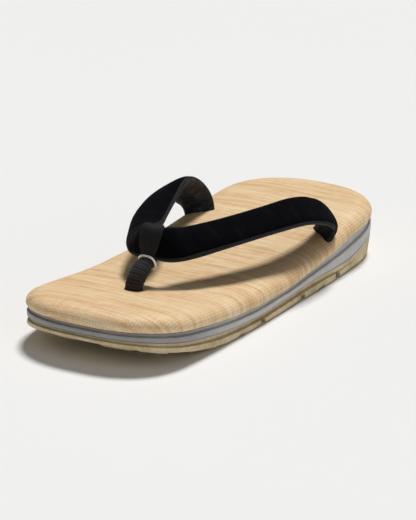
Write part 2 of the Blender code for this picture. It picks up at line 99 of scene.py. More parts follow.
MIDSOLE_SIDE = [
    # of SIDE_TRIM, of SIDE_STEP, share of the way down
    (0.9, 0.0, 1.00), (0.4, 0.0, 0.90), (0.4, 0.0, 0.42), (0.4, 1.0, 0.30), (0.3, 1.0, 0.00),
]
STRAP_COLUMNS = ("across", "along", "behind", "rise", "sink", "facing", "dip", "width",
                 "thickness")
STRAP = [
    # of HOLE_SPREAD, of LENGTH, of STRAP_WIDTH, of STRAP_RISE, of FOOTBED_RISE, degrees,
    # degrees, of STRAP_WIDTH, of STRAP_THICKNESS
    (0.000, -0.2245, 0.000, 0.970, 0.00, -90, 82, 0.82, 1.0),
    (0.205, -0.2245, 0.185, 0.922, 0.00, -62, 66, 0.95, 1.0),
    (0.354, -0.2245, 0.685, 0.895, 0.00, -38, 42, 0.98, 1.0),
    (0.520, -0.1151, 0.000, 0.930, 0.00, -26, 31, 1.00, 1.0),
    (0.718, -0.0491, 0.000, 0.975, 0.00, -22, 27, 1.00, 1.0),
    (0.897, 0.0264, 0.000, 0.998, 0.00, -20, 28, 1.00, 1.0),
    (1.005, 0.0962, 0.000, 0.915, 0.00, -21, 33, 1.00, 1.0),
    (1.046, 0.1547, 0.000, 0.711, 0.00, -23, 36, 0.99, 1.0),
    (1.051, 0.2000, 0.000, 0.434, 0.00, -27, 30, 0.95, 1.0),
    (1.036, 0.2208, 0.000, 0.160, 0.00, -31, 16, 0.90, 1.0),
    (1.013, 0.2151, 0.000, 0.000, 0.13, -31, 7, 0.85, 0.95),
    (1.000, 0.2038, 0.000, 0.000, 0.55, -31, 2, 0.83, 0.92),
]
# How each arm has settled beside the CAD's even pair: the row of STRAP where it
# is most and how many rows it reaches, then across, along and up in metres, and facing and
# dip in degrees
NEAR_SETTLED = [(7, 4, 0.0020, 0.0035, 0.0000, -2, -4)]
FAR_SETTLED = [
    (4, 3, 0.0005, -0.0010, -0.0020, 0, -15),
    (8, 3, 0.0020, -0.0030, 0.0010, -7, 5),
]
THONG_COLUMNS = ("ahead", "climb", "sink", "width", "depth")
THONG = [
    # of THONG_REACH, of the height below the bend, of FOOTBED_RISE, of THONG_WIDTH,
    # of THONG_DEPTH
    (0.977, 0.000, 0.75, 0.94, 0.90), (1.000, 0.000, 0.00, 0.98, 0.95),
    (0.959, 0.307, 0.00, 1.00, 1.00), (0.779, 0.583, 0.00, 1.00, 1.00),
    (0.529, 0.752, 0.00, 0.95, 0.95), (0.279, 0.844, 0.00, 0.78, 0.78),
    (0.070, 1.013, 0.00, 0.84, 0.80),
]
RING_AT = 5

# Lean of the thong, tab and ring to the near side, and the height over which it grows
THONG_LEAN, LEAN_RISE = 0.0010, 0.010

# Ribs of the thong: mean depth below its section, wave and distance, in metres
RIB_SINK, RIB_WAVE, RIB_STEP = 0.00012, 0.00010, 0.0026

# Tab's edge, in shares of its half length: where it rolls in, and its sewn hem; the hem's
# depth is in metres
ROLL_FROM, ROLL_REACH = 0.86, 0.14
HEM_AT, HEM_REACH, HEM_DEPTH = 0.80, 0.06, 0.00022

# Distances between threads, ribs and twists, in metres
WARP_PITCH, WEFT_PITCH = 0.0017, 0.0014
LINING_PITCH, TWIST_PITCH, TWILL_PITCH = 0.0006, 0.0010, 0.0007
RIB_PITCH, KNIT_PITCH = 0.0013, 0.0011

# Piping along the straps' edges: angles round the section in degrees, sizes in metres;
# LIFT_DEPTH stands for half the thickness where the way that a fold lifts is worked out
EDGE_SEAM, BEND_SEAM, SEAM_TURN = 11, 30, 20
BEND_SEAM_REACH = 0.032
PIPING_HEIGHT = 0.00040
PIPING_FACES = (10, 30)
RIDGE_WIDTH, GROOVE_AT, GROOVE_WIDTH = 7, 14, 4
LIFT_DEPTH = 0.0030

# Folds of the straps: arm (+1 or -1), metres from the front bend along the
# arm, place across (-1 inner edge to 1 outer edge), face (1 velvet, -1 lining), half length
# across and half width along in metres, turn in degrees, height in metres
FOLDS = [
    (1, 0.010, 0.40, 1, 0.0060, 0.0018, 18, -0.00045),
    (1, 0.015, -0.30, 1, 0.0055, 0.0020, -22, 0.00030),
    (1, 0.024, 0.55, 1, 0.0045, 0.0022, 30, -0.00030),
    (-1, 0.010, 0.35, 1, 0.0060, 0.0018, -16, -0.00045),
    (-1, 0.017, -0.25, 1, 0.0055, 0.0020, 24, 0.00030),
    (-1, 0.034, 0.10, 1, 0.0070, 0.0026, -12, -0.00028),
    (1, 0.118, -0.45, 1, 0.0045, 0.0020, -10, -0.00030),
    (1, 0.128, 0.45, 1, 0.0050, 0.0022, 12, -0.00030),
    (-1, 0.118, -0.45, 1, 0.0045, 0.0020, 10, -0.00030),
    (-1, 0.112, -0.35, -1, 0.0065, 0.0014, 16, 0.00060),
    (-1, 0.117, 0.30, -1, 0.0060, 0.0013, -20, -0.00055),
    (-1, 0.122, -0.20, -1, 0.0070, 0.0013, 10, 0.00065),
    (-1, 0.127, 0.40, -1, 0.0055, 0.0014, 24, -0.00050),
    (-1, 0.132, -0.10, -1, 0.0065, 0.0013, -14, 0.00055),
    (1, 0.112, 0.30, -1, 0.0060, 0.0014, -16, 0.00055),
    (1, 0.119, -0.20, -1, 0.0065, 0.0013, 18, -0.00055),
    (1, 0.126, 0.20, -1, 0.0065, 0.0013, -10, 0.00060),
    (1, 0.132, -0.30, -1, 0.0055, 0.0013, 20, -0.00045),
]

# Lights: name, direction that it comes from, strength, how many degrees wide it looks
LIGHTS = [
    ("soft_key", (-0.06, 0.40, 1.0), 2.80, 14),
    ("front_fill", (0.1, -0.50, 0.85), 0.24, 60),
    ("side_fill", (0.90, -0.30, 0.35), 0.36, 60),
]

# Camera, floor and the angle in degrees above which an edge looks sharp
CAMERA_PLACE = (0.9507, -1.5577, 0.6480)
CAMERA_TARGET = (0.0, 0.0, 0.020)
CAMERA_LENS = 240
FLOOR_SIZE = 60
SHARP_EDGE = 50


def columns(table, names):
    return dict(zip(names, np.array(table, dtype=float).T))


def smooth(knots, values, at):
    """Smooth curve through the values that never swings past a level stretch."""
    knots, values, at = np.asarray(knots), np.asarray(values), np.asarray(at, dtype=float)
    run = np.diff(knots)
    slope = np.diff(values) / run
    tangent = np.zeros(len(values))
    same_way = slope[:-1] * slope[1:] > 0
    mean = 2 * slope[:-1] * slope[1:] / np.where(same_way, slope[:-1] + slope[1:], 1)
    tangent[1:-1] = np.where(same_way, mean, 0)
    tangent[0], tangent[-1] = slope[0], slope[-1]
    i = np.clip(np.searchsorted(knots, at) - 1, 0, len(run) - 1)
    u = np.clip((at - knots[i]) / run[i], 0, 1)
    start = values[i] * (1 + 2 * u) + tangent[i] * run[i] * u
    end = values[i + 1] * (3 - 2 * u) - tangent[i + 1] * run[i] * (1 - u)
    return start * (1 - u) ** 2 + end * u ** 2


def through_rows(table, steps):
    """Catmull-Rom curve through the rows of a table, each column by itself."""
    table = np.asarray(table, dtype=float)
    rows = np.vstack([2 * table[0] - table[1], table, 2 * table[-1] - table[-2]])
    out = []
    for i in range(1, len(rows) - 2):
        before, start, end, after = rows[i - 1:i + 3]
        for u in np.arange(steps) / steps:
            square = 2 * before - 5 * start + 4 * end - after
            cube = 3 * start - before - 3 * end + after
            out.append(start + 0.5 * ((end - before) * u + square * u ** 2 + cube * u ** 3))
    out.append(rows[-2])
    return np.array(out)


def unit(vectors):
    return vectors / np.linalg.norm(vectors, axis=-1, keepdims=True)


def sole_value(name, y):
    sole = columns(SOLE, SOLE_COLUMNS)
    return smooth(sole["along"], sole[name], np.asarray(y) / LENGTH + 0.5)


def seam_height(y):
    return SEAT_HEIGHT * sole_value("seam", y)


def midsole_top(y):
    return seam_height(y) - GAP


def midsole_floor(y):
    return seam_height(y) - MIDSOLE_THICKNESS * sole_value("midsole", y)


def footbed_top(y):
    return seam_height(y) + FOOTBED_RISE


def outline():
    """The sole's outline from the toe round the +X side to the heel and back."""
    turn = np.linspace(0, math.pi / 2, END_STEPS + 1)
    toe = TOE_END * (1 - np.cos(turn) ** (2 / TOE_POWER))
    toe_wide = np.sin(turn) ** (2 / TOE_POWER)
    side = np.linspace(TOE_END, 1 - HEEL_END, SIDE_STEPS + 1)[1:]
    heel = (1 - HEEL_END * (1 - np.sin(turn[1:]) ** (2 / HEEL_POWER)))[:-1]
    heel_wide = np.cos(turn[1:-1]) ** (2 / HEEL_POWER)
    along = np.concatenate([toe, side, heel, [1.0]])
    wide = np.concatenate([toe_wide, np.ones(len(side)), heel_wide, [0.0]])
    y = (along - 0.5) * LENGTH
    x = wide * sole_value("half_width", y) * WIDTH / 2
    right = np.stack([x, y], axis=1)
    return np.concatenate([right, right[-2:0:-1] * [-1, 1]])


def outward(loop):
    along = np.roll(loop, -1, axis=0) - np.roll(loop, 1, axis=0)
    along = unit(along)
    normal = np.stack([along[:, 1], -along[:, 0]], axis=1)
    normal[np.abs(loop[:, 0]) < 1e-9, 0] = 0
    return unit(normal)


def toward_spine(loop, share):
    reach = LENGTH / 2 - WIDTH / 3
    spine = np.stack([np.zeros(len(loop)), np.clip(loop[:, 1], -reach, reach)], axis=1)
    return spine + (loop - spine) * share


def level(loop, height):
    z = height(loop[:, 1]) if callable(height) else np.broadcast_to(height, len(loop))
    return np.column_stack([loop, z])


def ring_faces(rows, count, closed_rows=False):
    faces = []
    for r in range(rows if closed_rows else rows - 1):
        for i in range(count):
            j = (i + 1) % count
            upper = (r + 1) % rows
            faces.append((r * count + i, r * count + j, upper * count + j, upper * count + i))
    return faces


def tube_faces(rows, count):
    """Faces of a tube of rings with both ends closed."""
    last = rows * count
    ends = [tuple(range(count)), tuple(range(last - 1, last - count - 1, -1))]
    return ring_faces(rows, count) + ends


def round_angles(sides):
    return np.arange(sides) * 2 * math.pi / sides


def signed_power(values, power):
    return np.sign(values) * np.abs(values) ** power


def add_piece(name, verts, faces, uvs=None, materials=(), slots=None):
    """A mesh piece with smooth faces, uv for each vertex and a material index for each face."""
    mesh = bpy.data.meshes.new(name)
    mesh.from_pydata([tuple(v) for v in verts], [], faces)
    if uvs is not None:
        layer = mesh.uv_layers.new(name="UVMap")
        index = np.zeros(len(mesh.loops), dtype=np.int32)
        mesh.loops.foreach_get("vertex_index", index)
        layer.data.foreach_set("uv", np.asarray(uvs, dtype=np.float32)[index].ravel())
    for material in materials:
        mesh.materials.append(material)
    if slots is not None:
        mesh.polygons.foreach_set("material_index", np.asarray(slots, dtype=np.int32))
    work = bmesh.new()
    work.from_mesh(mesh)
    bmesh.ops.remove_doubles(work, verts=work.verts, dist=1e-7)
    bmesh.ops.recalc_face_normals(work, faces=work.faces)
    work.to_mesh(mesh)
    work.free()
    mesh.shade_smooth()
    mesh.set_sharp_from_angle(angle=math.radians(SHARP_EDGE))
    obj = bpy.data.objects.new(name, mesh)
    bpy.context.scene.collection.objects.link(obj)
    return obj


def apply_modifiers(obj):
    """Bakes the object's modifiers into its mesh."""
    depsgraph = bpy.context.evaluated_depsgraph_get()
    mesh = bpy.data.meshes.new_from_object(obj.evaluated_get(depsgraph))
    obj.modifiers.clear()
    obj.data = mesh


class Graph:
    """Short calls that add nodes to one material."""

    def __init__(self, name):
        self.material = bpy.data.materials.new(name)
        self.material.use_nodes = True
        self.tree = self.material.node_tree
        self.shader = self.tree.nodes["Principled BSDF"]

    def node(self, kind, inputs=(), **settings):
        node = self.tree.nodes.new(kind)
        for key, value in settings.items():
            setattr(node, key, value)
        for key, value in dict(inputs).items():
            self.put(node.inputs[key], value)
        return node

    def put(self, socket, value):
        if isinstance(value, bpy.types.NodeSocket):
            self.tree.links.new(value, socket)
        else:
            socket.default_value = value

    def math(self, operation, first, second=0.0):
        return self.node("ShaderNodeMath", {0: first, 1: second}, operation=operation).outputs[0]

    def combine(self, x, y, z=0.0):
        return self.node("ShaderNodeCombineXYZ", {0: x, 1: y, 2: z}).outputs[0]

    def uv(self):
        split = self.node("ShaderNodeSeparateXYZ", {0: self.node("ShaderNodeUVMap").outputs[0]})
        return split.outputs[0], split.outputs[1]

    def place(self):
        return self.node("ShaderNodeTexCoord").outputs["Object"]

    def noise(self, vector, scale=1.0, detail=2.0, rough=0.5, distortion=0.0):
        inputs = {"Vector": vector, "Scale": scale, "Detail": detail, "Roughness": rough,
                  "Distortion": distortion}
        return self.node("ShaderNodeTexNoise", inputs).outputs[0]

    def ramp(self, factor, stops):
        node = self.node("ShaderNodeValToRGB", {0: factor})
        band = node.color_ramp
        while len(band.elements) < len(stops):
            band.elements.new(0.5)
        for element, (place, colour) in zip(band.elements, stops):
            element.position = place
            element.color = (*colour, 1)
        return node.outputs[0]

    def between(self, factor, low, high, to_low=0.0, to_high=1.0):
        inputs = {0: factor, 1: low, 2: high, 3: to_low, 4: to_high}
        return self.node("ShaderNodeMapRange", inputs, interpolation_type="SMOOTHSTEP").outputs[0]

    def mix(self, factor, first, second, blend="MIX"):
        node = self.node("ShaderNodeMix", data_type="RGBA", blend_type=blend)
        self.put(node.inputs[0], factor)
        self.put(node.inputs[6], first)
        self.put(node.inputs[7], second)
        return node.outputs[2]

    def bump(self, height, strength, distance, normal=None):
        node = self.node("ShaderNodeBump", {"Height": height, "Strength": strength,
                                            "Distance": distance})
        if normal is not None:
            self.put(node.inputs["Normal"], normal)
        return node.outputs[0]

    def finish(self, **inputs):
        for key, value in inputs.items():
            self.put(self.shader.inputs[key.replace("_", " ")], value)
        return self.material


def woven_rush():
    """Fine plain weave of flat rush: each thread its own tone, warm streaks across the sandal."""
    g = Graph("woven_rush")
    u, v = g.uv()
    sway = g.noise(g.combine(g.math("MULTIPLY", u, 16.0), g.math("MULTIPLY", v, 11.0)), detail=2.0)
    v = g.math("ADD", v, g.math("MULTIPLY", g.math("SUBTRACT", sway, 0.5), 0.010))
    drift = g.noise(g.combine(g.math("MULTIPLY", u, 9.0), g.math("MULTIPLY", v, 30.0), 5.0))
    u = g.math("ADD", u, g.math("MULTIPLY", g.math("SUBTRACT", drift, 0.5), 0.0022))
    warp_turn = g.math("MULTIPLY", u, math.pi / WARP_PITCH)
    weft_turn = g.math("MULTIPLY", v, math.pi / WEFT_PITCH)
    over = g.between(g.math("MULTIPLY", g.math("SINE", warp_turn), g.math("SINE", weft_turn)),
                     -0.35, 0.35)
    warp_round = g.math("ABSOLUTE", g.math("COSINE", warp_turn))
    weft_round = g.math("ABSOLUTE", g.math("COSINE", weft_turn))
    warp_dome = g.math("SUBTRACT", 1.0, g.math("POWER", warp_round, 3.0))
    weft_dome = g.math("SUBTRACT", 1.0, g.math("POWER", weft_round, 3.0))
    dome = g.math("MULTIPLY", warp_dome, weft_dome)
    height = g.math("ADD", g.math("MULTIPLY", dome, 0.75), g.math("MULTIPLY", over, 0.25))
    thread = g.math("MULTIPLY", g.math("FLOOR", g.math("MULTIPLY", v, 1 / WEFT_PITCH)), 5.37)
    thread_tone = g.noise(g.combine(g.math("MULTIPLY", u, 26.0), thread), detail=2.0, rough=0.7)
    post = g.math("MULTIPLY", g.math("FLOOR", g.math("MULTIPLY", u, 1 / WARP_PITCH)), 3.71)
    post_tone = g.noise(g.combine(post, g.math("MULTIPLY", v, 90.0), 9.0), detail=1.0)
    streak_at = g.combine(g.math("MULTIPLY", u, 15.0), g.math("MULTIPLY", v, 240.0))
    streak = g.noise(streak_at, detail=3.0, rough=0.6)
    broad_at = g.combine(g.math("MULTIPLY", u, 9.0), g.math("MULTIPLY", v, 55.0), 3.0)
    broad = g.noise(broad_at, detail=2.0, rough=0.5)
    fibre_at = g.combine(g.math("MULTIPLY", u, 260.0), g.math("MULTIPLY", v, 2400.0), 7.0)
    fibre = g.noise(fibre_at, detail=1.0)
    tone = g.math("ADD", g.math("MULTIPLY", thread_tone, 0.40), g.math("MULTIPLY", streak, 0.32))
    tone = g.math("ADD", tone, g.math("MULTIPLY", post_tone, 0.12))
    tone = g.math("ADD", tone, g.math("MULTIPLY", broad, 0.16))
    colour = g.ramp(tone, [(0.34, (0.64, 0.38, 0.175)), (0.44, (0.83, 0.560, 0.305)),
                           (0.53, (0.95, 0.710, 0.435)), (0.64, (1.00, 0.85, 0.60))])
    # Painted shade: colour darkened in the hollows between the threads
    shade = g.ramp(height, [(0.0, (0.66, 0.56, 0.43)), (0.40, (0.95, 0.93, 0.90)),
                            (1.0, (1.0, 1.0, 1.0))])
    colour = g.mix(0.62, colour, shade, "MULTIPLY")
    colour = g.mix(0.25, colour, g.ramp(fibre, [(0.3, (0.72, 0.68, 0.60)), (0.7, (1, 1, 1))]),
                   "MULTIPLY")
    normal = g.bump(height, 0.32, 0.0004)
    normal = g.bump(fibre, 0.15, 0.0001, normal)
    rough = g.between(tone, 0.35, 0.65, 0.60, 0.46)
    return g.finish(Base_Color=colour, Roughness=rough, Normal=normal, Specular_IOR_Level=0.42)


def foam():
    """Soft grey foam with a fine grain, with painted shade at its top, in its recess, along its
    lower edge and towards the toe.
    """
    g = Graph("midsole_foam")
    at = g.place()
    along, down = g.uv()
    cloud = g.noise(at, 60.0, 3.0, 0.6)
    grain = g.noise(at, 2200.0, 2.0, 0.6)
    rub = g.noise(g.node("ShaderNodeMapping", {"Vector": at, "Scale": (1, 1, 9)}).outputs[0],
                  150.0, 3.0, 0.6)
    colour = g.ramp(cloud, [(0.3, (0.50, 0.50, 0.495)), (0.7, (0.60, 0.60, 0.60))])
    colour = g.mix(0.5, colour, g.ramp(rub, [(0.35, (0.78, 0.77, 0.76)), (0.62, (1, 1, 1))]),
                   "MULTIPLY")
    # Painted shade: darker at the top under the cover, in the recess and along the lower edge
    painted_edge_shade = g.ramp(down, [(0.00, (0.35, 0.34, 0.33)), (0.08, (0.90, 0.90, 0.90)),
                         (0.31, (0.80, 0.80, 0.80)), (0.38, (1, 1, 1)), (0.82, (1, 1, 1)),
                         (0.94, (0.35, 0.33, 0.31))])
    colour = g.mix(1.0, colour, painted_edge_shade, "MULTIPLY")
    # Painted shade: the foam is darker towards the toe end
    painted_toe_shade = g.between(along, -0.105, -0.060, 0.60, 1.0)
    colour = g.mix(1.0, colour, g.combine(painted_toe_shade, painted_toe_shade, painted_toe_shade), "MULTIPLY")
    normal = g.bump(grain, 0.25, 0.0002)
    normal = g.bump(rub, 0.20, 0.0010, normal)
    return g.finish(Base_Color=colour, Roughness=g.between(grain, 0.3, 0.7, 0.34, 0.50),
                    Normal=normal, Specular_IOR_Level=0.60)


def gum_rubber():
    """Gum rubber, mottled and speckled."""
    g = Graph("outsole_rubber")
    at = g.place()
    cloud = g.noise(at, 85.0, 4.0, 0.65)
    speck = g.noise(at, 900.0, 2.0, 0.7)
    colour = g.ramp(cloud, [(0.28, (0.52, 0.39, 0.210)), (0.50, (0.73, 0.585, 0.350)),
                            (0.75, (0.84, 0.70, 0.46))])
    colour = g.mix(0.5, colour, g.ramp(speck, [(0.35, (0.72, 0.69, 0.64)), (0.6, (1, 1, 1))]),
                   "MULTIPLY")
    normal = g.bump(g.noise(at, 1500.0, 3.0, 0.7), 0.30, 0.0003)
    normal = g.bump(cloud, 0.20, 0.0010, normal)
    return g.finish(Base_Color=colour, Roughness=g.between(cloud, 0.3, 0.7, 0.62, 0.48),
                    Normal=normal)


def velvet():
    """Black short-pile velvet with faint lies of the pile."""
    g = Graph("strap_velvet")
    u, v = g.uv()
    lie = g.noise(g.combine(g.math("MULTIPLY", u, 60.0), g.math("MULTIPLY", v, 150.0)),
                  detail=3.0, rough=0.6)
    pile = g.noise(g.combine(u, v), 5200.0, 1.0)
    colour = g.ramp(lie, [(0.32, (0.0008, 0.0007, 0.0014)), (0.55, (0.0018, 0.0016, 0.0028)),
                          (0.75, (0.0056, 0.0050, 0.0072))])
    normal = g.bump(pile, 0.5, 0.0003)
    return g.finish(Base_Color=colour, Roughness=0.95, Normal=normal, Specular_IOR_Level=0.05,
                    Sheen_Weight=0.028, Sheen_Roughness=0.40, Sheen_Tint=(0.45, 0.45, 0.65, 1))


def lining():
    """Black cotton lining, finely woven, a little crinkled, with painted shade in its creases and
    painted highlights on its ridges.
    """
    g = Graph("strap_lining")
    u, v = g.uv()
    weave = g.math("MULTIPLY", g.math("SINE", g.math("MULTIPLY", u, 2 * math.pi / LINING_PITCH)),
                   g.math("SINE", g.math("MULTIPLY", v, 2 * math.pi / LINING_PITCH)))
    crinkle_at = g.combine(g.math("MULTIPLY", u, 150.0), g.math("MULTIPLY", v, 330.0))
    crinkle = g.noise(crinkle_at, detail=3.0, rough=0.55, distortion=0.8)
    # Colour follows the crinkles: painted shade in the creases, painted highlights on the ridges
    colour = g.ramp(crinkle, [(0.34, (0.0009, 0.0012, 0.0026)), (0.52, (0.0042, 0.0058, 0.0105)),
                              (0.66, (0.021, 0.029, 0.048))])
    normal = g.bump(weave, 0.25, 0.0001)
    normal = g.bump(crinkle, 0.90, 0.0025, normal)
    return g.finish(Base_Color=colour, Roughness=0.52, Normal=normal, Specular_IOR_Level=0.32)


def piping():
    """Dull charcoal cord sewn along both edges of the straps."""
    g = Graph("strap_piping")
    u, v = g.uv()
    twist = g.math("SINE", g.math("MULTIPLY", g.math("ADD", g.math("MULTIPLY", u, 2.0), v),
                                  2 * math.pi / TWIST_PITCH))
    worn = g.noise(g.combine(u, v), 700.0, 3.0, 0.6)
    colour = g.ramp(worn, [(0.3, (0.0085, 0.0085, 0.0100)), (0.7, (0.0210, 0.0205, 0.0240))])
    normal = g.bump(twist, 0.35, 0.0001)
    return g.finish(Base_Color=colour, Roughness=0.80, Normal=normal, Specular_IOR_Level=0.20)


def tab_cloth():
    """Smooth black tab cloth with a fine twill."""
    g = Graph("tab_cloth")
    u, v = g.uv()
    slant = g.math("ADD", u, v)
    twill = g.math("SINE", g.math("MULTIPLY", slant, 2 * math.pi / TWILL_PITCH))
    worn = g.noise(g.place(), 400.0, 3.0, 0.6)
    colour = g.ramp(worn, [(0.3, (0.0080, 0.0080, 0.0090)), (0.7, (0.0150, 0.0150, 0.0170))])
    normal = g.bump(twill, 0.15, 0.0001)
    return g.finish(Base_Color=colour, Roughness=0.75, Normal=normal, Specular_IOR_Level=0.18)


def thong_cloth():
    """Ribbed cloth of the thong, charcoal, slightly fuzzy."""
    g = Graph("thong_cloth")
    u, v = g.uv()
    rib = g.math("SINE", g.math("MULTIPLY", v, 2 * math.pi / RIB_PITCH))
    knit = g.math("SINE", g.math("MULTIPLY", u, 2 * math.pi / KNIT_PITCH))
    fuzz = g.noise(g.combine(u, v), 2000.0, 3.0, 0.7)
    lump = g.math("ADD", g.math("MULTIPLY", rib, 0.5), g.math("MULTIPLY", knit, 0.5))
    tone = g.math("ADD", g.math("MULTIPLY", lump, 0.12), fuzz)
    colour = g.ramp(tone, [(0.36, (0.0070, 0.0068, 0.0080)), (0.55, (0.0230, 0.0220, 0.0245)),
                           (0.70, (0.0800, 0.0760, 0.0820))])
    normal = g.bump(lump, 0.4, 0.0003)
    normal = g.bump(fuzz, 0.4, 0.0004, normal)
    return g.finish(Base_Color=colour, Roughness=0.88, Normal=normal, Specular_IOR_Level=0.15,
                    Sheen_Weight=0.08, Sheen_Roughness=0.5)


def ring_metal():
    """Bright plated wire with a pale satin."""
    g = Graph("ring_metal")
    haze = g.noise(g.place(), 700.0, 2.0, 0.5)
    return g.finish(Base_Color=(0.97, 0.965, 0.95, 1), Metallic=0.25,
                    Roughness=g.between(haze, 0.3, 0.7, 0.26, 0.40), Specular_IOR_Level=0.90)


def settled(rows, terms):
    """One arm's rows, moved and turned where it has settled."""
    rows = rows.copy()
    place = np.arange(len(rows))
    for most, reach, *change in terms:
        share = np.cos(np.clip(np.abs(place - most) / reach, 0, 1) * math.pi / 2) ** 2
        rows[:, :5] += np.outer(share, change)
    return rows


def strap_rows():
    """Both straps as one run of rows in metres and degrees, from end to end."""
    strap = columns(STRAP, STRAP_COLUMNS)
    y = strap["along"] * LENGTH + strap["behind"] * STRAP_WIDTH
    z = footbed_top(y) + strap["rise"] * STRAP_RISE - strap["sink"] * FOOTBED_RISE
    even = np.column_stack([
        strap["across"] * HOLE_SPREAD, y, z, strap["facing"], strap["dip"],
        strap["width"] * STRAP_WIDTH, strap["thickness"] * STRAP_THICKNESS,
    ])
    right, left = settled(even, NEAR_SETTLED), settled(even, FAR_SETTLED)
    left = left[:0:-1] * [-1, 1, 1, 1, 1, 1, 1]
    left[:, 3] = -180 - left[:, 3]
    return np.vstack([left, right])


def strap_frame():
    """Middle points, width and face directions, width and thickness along the straps."""
    rows = through_rows(strap_rows(), STRAP_STEPS)
    middle = rows[:, :3]
    run = unit(np.gradient(middle, axis=0))
    facing, dip = np.radians(rows[:, 3]), np.radians(rows[:, 4])
    across = np.stack([
        np.cos(facing) * np.cos(dip), np.sin(facing) * np.cos(dip), -np.sin(dip),
    ], axis=1)
    across = unit(across - run * (run * across).sum(axis=1, keepdims=True))
    face = np.cross(across, run)
    return middle, across, face, rows[:, 5], rows[:, 6]


def strap_offsets(angle, width, thickness, grow):
    side = signed_power(np.cos(angle), STRAP_CORNER)
    out = signed_power(np.sin(angle), STRAP_CORNER)
    dome = np.where(out > 0, OUTER_SHARE, 1 - OUTER_SHARE)
    return side * (width / 2 + grow), out * (dome * thickness + grow)


def wrap_angles(bend_share):
    """Angles round the strap, with the piping's lines kept at the same points of each row."""
    outer = EDGE_SEAM + (BEND_SEAM - EDGE_SEAM) * bend_share
    turn = np.arange(STRAP_SIDES) * 360 / STRAP_SIDES
    return np.radians(np.interp(turn, [0, SEAM_TURN, 90, 180 - SEAM_TURN, 180, 360],
                                [0, outer, 90, 180 - EDGE_SEAM, 180, 360]))


def strap_points(frame_rows, i, angle, grow):
    middle, across, face, width, thickness = frame_rows
    side, out = strap_offsets(angle, width[i], thickness[i], grow)
    return middle[i] + np.outer(side, across[i]) + np.outer(out, face[i])


def build_straps(materials):
    """Padded straps: velvet face, piping along both edges, crinkled lining."""
    frame_rows = strap_frame()
    middle, across, face, width, thickness = frame_rows
    count = len(middle)
    step = np.linalg.norm(np.diff(middle, axis=0), axis=1)
    travel = np.concatenate([[0], np.cumsum(step)])
    travel -= travel[count // 2]
    turn = np.arange(STRAP_SIDES) * 360 / STRAP_SIDES
    off_seam = np.minimum(np.abs(turn - SEAM_TURN), np.abs(turn - 180 + SEAM_TURN))
    groove = np.exp(-((off_seam - GROOVE_AT) / GROOVE_WIDTH) ** 2)
    ridge = PIPING_HEIGHT * np.exp(-(off_seam / RIDGE_WIDTH) ** 2) - 0.5 * PIPING_HEIGHT * groove
    upper = (turn > 0) & (turn < 180)
    even = np.stack(strap_offsets(wrap_angles(0), STRAP_WIDTH, STRAP_THICKNESS, 0), axis=1)
    arc = np.concatenate([[0], np.cumsum(np.linalg.norm(np.diff(even, axis=0), axis=1))])
    points, uvs = [], []
    for i in range(count):
        angle = wrap_angles(math.exp(-(travel[i] / BEND_SEAM_REACH) ** 2))
        side, out = strap_offsets(angle, width[i], thickness[i], 0)
        radial = unit(np.stack([side / (width[i] / 2), out / LIFT_DEPTH], axis=1))
        lift = ridge.copy()
        arm = 1 if travel[i] >= 0 else -1
        for fold_arm, at, place, outer, half_length, half_width, lean, height in FOLDS:
            if fold_arm != arm:
                continue
            dx = side - place * width[i] / 2
            dy = abs(travel[i]) - at
            c, s = math.cos(math.radians(lean)), math.sin(math.radians(lean))
            long, short = dx * c + dy * s, dy * c - dx * s
            bell = np.exp(-(long / half_length) ** 2 - (short / half_width) ** 2)
            lift = lift + height * bell * (upper == (outer > 0))
        side, out = side + radial[:, 0] * lift, out + radial[:, 1] * lift
        points.append(middle[i] + np.outer(side, across[i]) + np.outer(out, face[i]))
        uvs.append(np.column_stack([arc, np.full(STRAP_SIDES, travel[i])]))
    centre = turn + 180 / STRAP_SIDES
    from_edge = np.minimum(centre, 180 - centre)
    kind = np.where(from_edge > PIPING_FACES[1], 0, np.where(from_edge > PIPING_FACES[0], 2, 1))
    slots = list(kind) * (count - 1) + [1, 1]
    obj = add_piece("strap_pair", np.concatenate(points), tube_faces(count, STRAP_SIDES),
                    np.concatenate(uvs), materials, slots)
    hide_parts("straps")
    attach(obj, "root")


def build_tab(material):
    """Tab of cloth sewn round the straps' front bend."""
    frame_rows = strap_frame()
    middle_row = len(frame_rows[0]) // 2
    angle = round_angles(STRAP_SIDES)
    half = TAB_HALF_LENGTH * (1 - TAB_TAPER * (1 + np.cos(angle)) / 2)
    rows = np.arange(middle_row - STRAP_STEPS, middle_row + STRAP_STEPS + 1)
    travel = frame_rows[0][rows, 0]
    rings, uvs = [], []
    shares = np.linspace(-1, 1, TAB_STEPS + 1)
    rolled = np.clip((np.abs(shares) - ROLL_FROM) / ROLL_REACH, 0, 1)
    edge = np.sqrt(np.clip(1 - rolled ** 2, 0, 1))
    hem = HEM_DEPTH * np.exp(-((np.abs(shares) - HEM_AT) / HEM_REACH) ** 2)
    for skin in (0, 1):
        order = range(TAB_STEPS + 1) if skin == 0 else range(TAB_STEPS, -1, -1)
        for k in order:
            share = shares[k]
            grow = GAP if skin == 0 else GAP + TAB_WALL * (0.35 + 0.65 * edge[k]) - hem[k]
            grid = np.array([strap_points(frame_rows, i, angle, grow) for i in rows])
            ring = [[np.interp(THONG_LEAN + share * half[j], travel, grid[:, j, axis])
                     for axis in range(3)] for j in range(STRAP_SIDES)]
            rings.append(np.array(ring))
            uvs.append(np.column_stack([share * half, angle * STRAP_WIDTH / 3]))
    faces = ring_faces(len(rings), STRAP_SIDES, closed_rows=True)
    obj = add_piece("bend_tab", np.concatenate(rings), faces, np.concatenate(uvs), [material])
    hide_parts("front_thong")
    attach(obj, "root")


